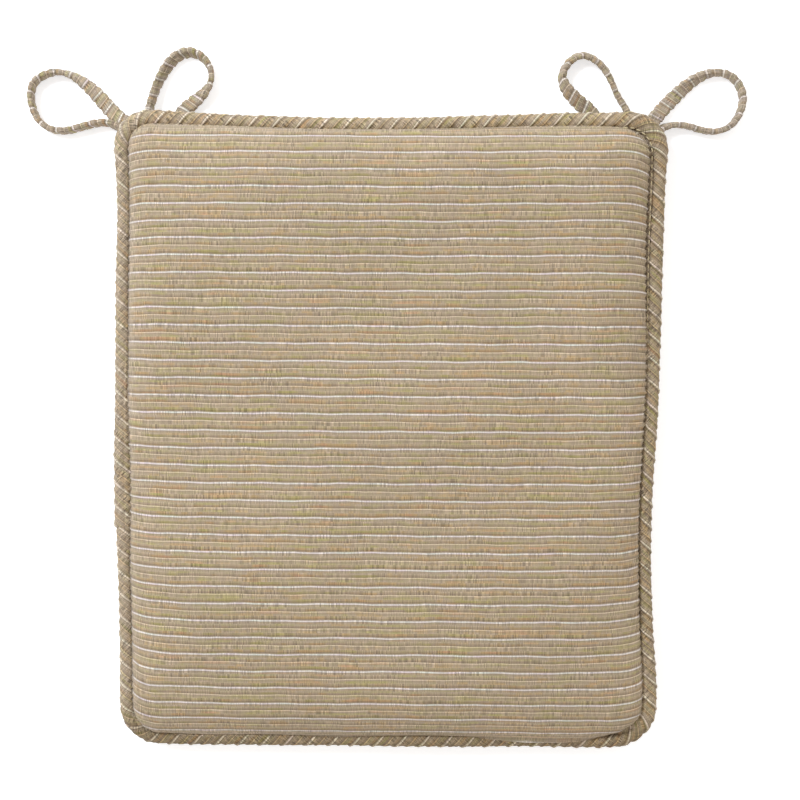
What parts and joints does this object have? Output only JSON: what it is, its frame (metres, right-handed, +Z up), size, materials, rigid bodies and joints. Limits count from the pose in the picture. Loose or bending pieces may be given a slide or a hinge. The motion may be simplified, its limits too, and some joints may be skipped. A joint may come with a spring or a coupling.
{
  "type": "chair seat pad",
  "caption": "Knife-edge chair seat pad with a corded welt, a foam core in fibre wrap, fabric ties at the rear corners and a zipped cover.",
  "frame": {"origin": "middle of the underside, on the flat face that the pad rests on", "axes": "+Z up through the pad, +Y towards the rear edge with the ties, +X to the right as seen from above with the rear edge away from the viewer"},
  "size_m": [0.5748, 0.56, 0.0494],
  "materials": {
    "panel_fabric": "ribbed woven stripe, matt",
    "welt_fabric": "the same ribbed stripe cut on the bias",
    "tie_fabric": "the same ribbed stripe, folded, stripes running across",
    "cotton_cord": "twisted cotton filler cord",
    "foam": "open-cell upholstery foam",
    "fibre": "bonded polyester fibre wadding",
    "zip_tape": "fine twill tape",
    "zip_coil": "nylon coil",
    "zip_metal": "plain nickel-plated metal"
  },
  "bodies": {
    "pad": {"face_panel": "panel_fabric", "underside_front_panel": "panel_fabric", "underside_rear_panel": "panel_fabric", "welt_cover": "welt_fabric", "welt_cord": "cotton_cord", "foam_core": "foam", "fibre_wrap_top": "fibre", "fibre_wrap_bottom": "fibre", "tie_left_side": "tie_fabric", "tie_left_rear": "tie_fabric", "tie_right_rear": "tie_fabric", "tie_right_side": "tie_fabric", "zip_tape_front": "zip_tape", "zip_tape_rear": "zip_tape", "zip_coil_front": "zip_coil", "zip_coil_rear": "zip_coil", "zip_stop_left": "zip_metal", "zip_stop_right": "zip_metal"},
    "slider": {"zip_slider": "zip_metal"},
    "pull": {"zip_pull": "zip_metal"}
  },
  "joints": [
    {"name": "zip_slide", "type": "slide", "parent": "pad", "child": "slider", "axis": [-1, 0, 0], "range_m": [0, 0.208]},
    {"name": "zip_pull_turn", "type": "hinge", "parent": "slider", "child": "pull", "pos_m": [0.104, 0.22579, 0.00644], "axis": [0, -0.9339, -0.3574], "range_deg": [0, 180]}
  ]
}
